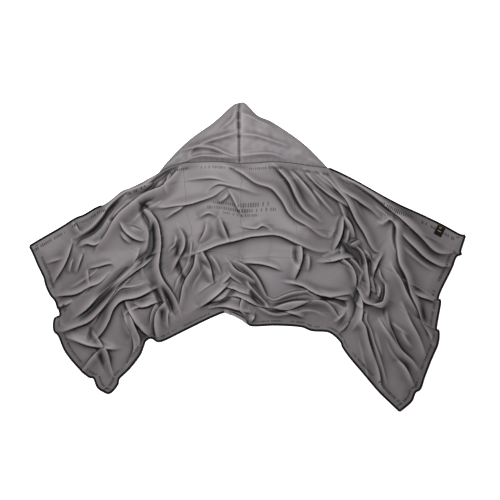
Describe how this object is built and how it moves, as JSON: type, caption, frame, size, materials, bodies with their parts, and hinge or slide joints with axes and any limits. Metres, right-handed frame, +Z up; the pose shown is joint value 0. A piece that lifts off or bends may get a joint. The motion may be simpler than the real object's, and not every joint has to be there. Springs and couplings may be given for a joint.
{
  "type": "hooded towel",
  "caption": "Hooded rectangle of thin knitted cloth laid out flat, with overlocked edges, a two-panel hood sewn to its neckline and a woven label.",
  "frame": {"origin": "under the middle of the laid-out sheet's bounding box, on the surface it lies on", "axes": "+X across the sheet along the neckline, +Y away from the lower edge towards the hood's peak, +Z up"},
  "size_m": [1.301, 0.9209, 0.0267],
  "materials": {
    "knit_cloth": "matte knitted jersey",
    "edge_thread": "matte overlock thread",
    "seam_thread": "matte sewing thread",
    "label": "dense satin-woven tape",
    "label_thread": "sewing thread"
  },
  "bodies": {
    "towel": {"body_panel": "knit_cloth", "top_left_edge_overlock": "edge_thread", "top_right_edge_overlock": "edge_thread", "left_edge_overlock": "edge_thread", "right_edge_overlock": "edge_thread", "bottom_edge_overlock": "edge_thread", "neck_seam": "seam_thread", "woven_label": "label", "label_upper_stitches": "label_thread", "label_lower_stitches": "label_thread"},
    "hood": {"hood_left_panel": "knit_cloth", "hood_right_panel": "knit_cloth", "hood_centre_seam": "seam_thread", "hood_left_mouth_overlock": "edge_thread", "hood_right_mouth_overlock": "edge_thread"}
  },
  "joints": [
    {"name": "hood_fold", "type": "hinge", "parent": "towel", "child": "hood", "pos_m": [0, 0.25, 0.012], "axis": [1, 0, 0], "range_deg": [0, 160]}
  ]
}
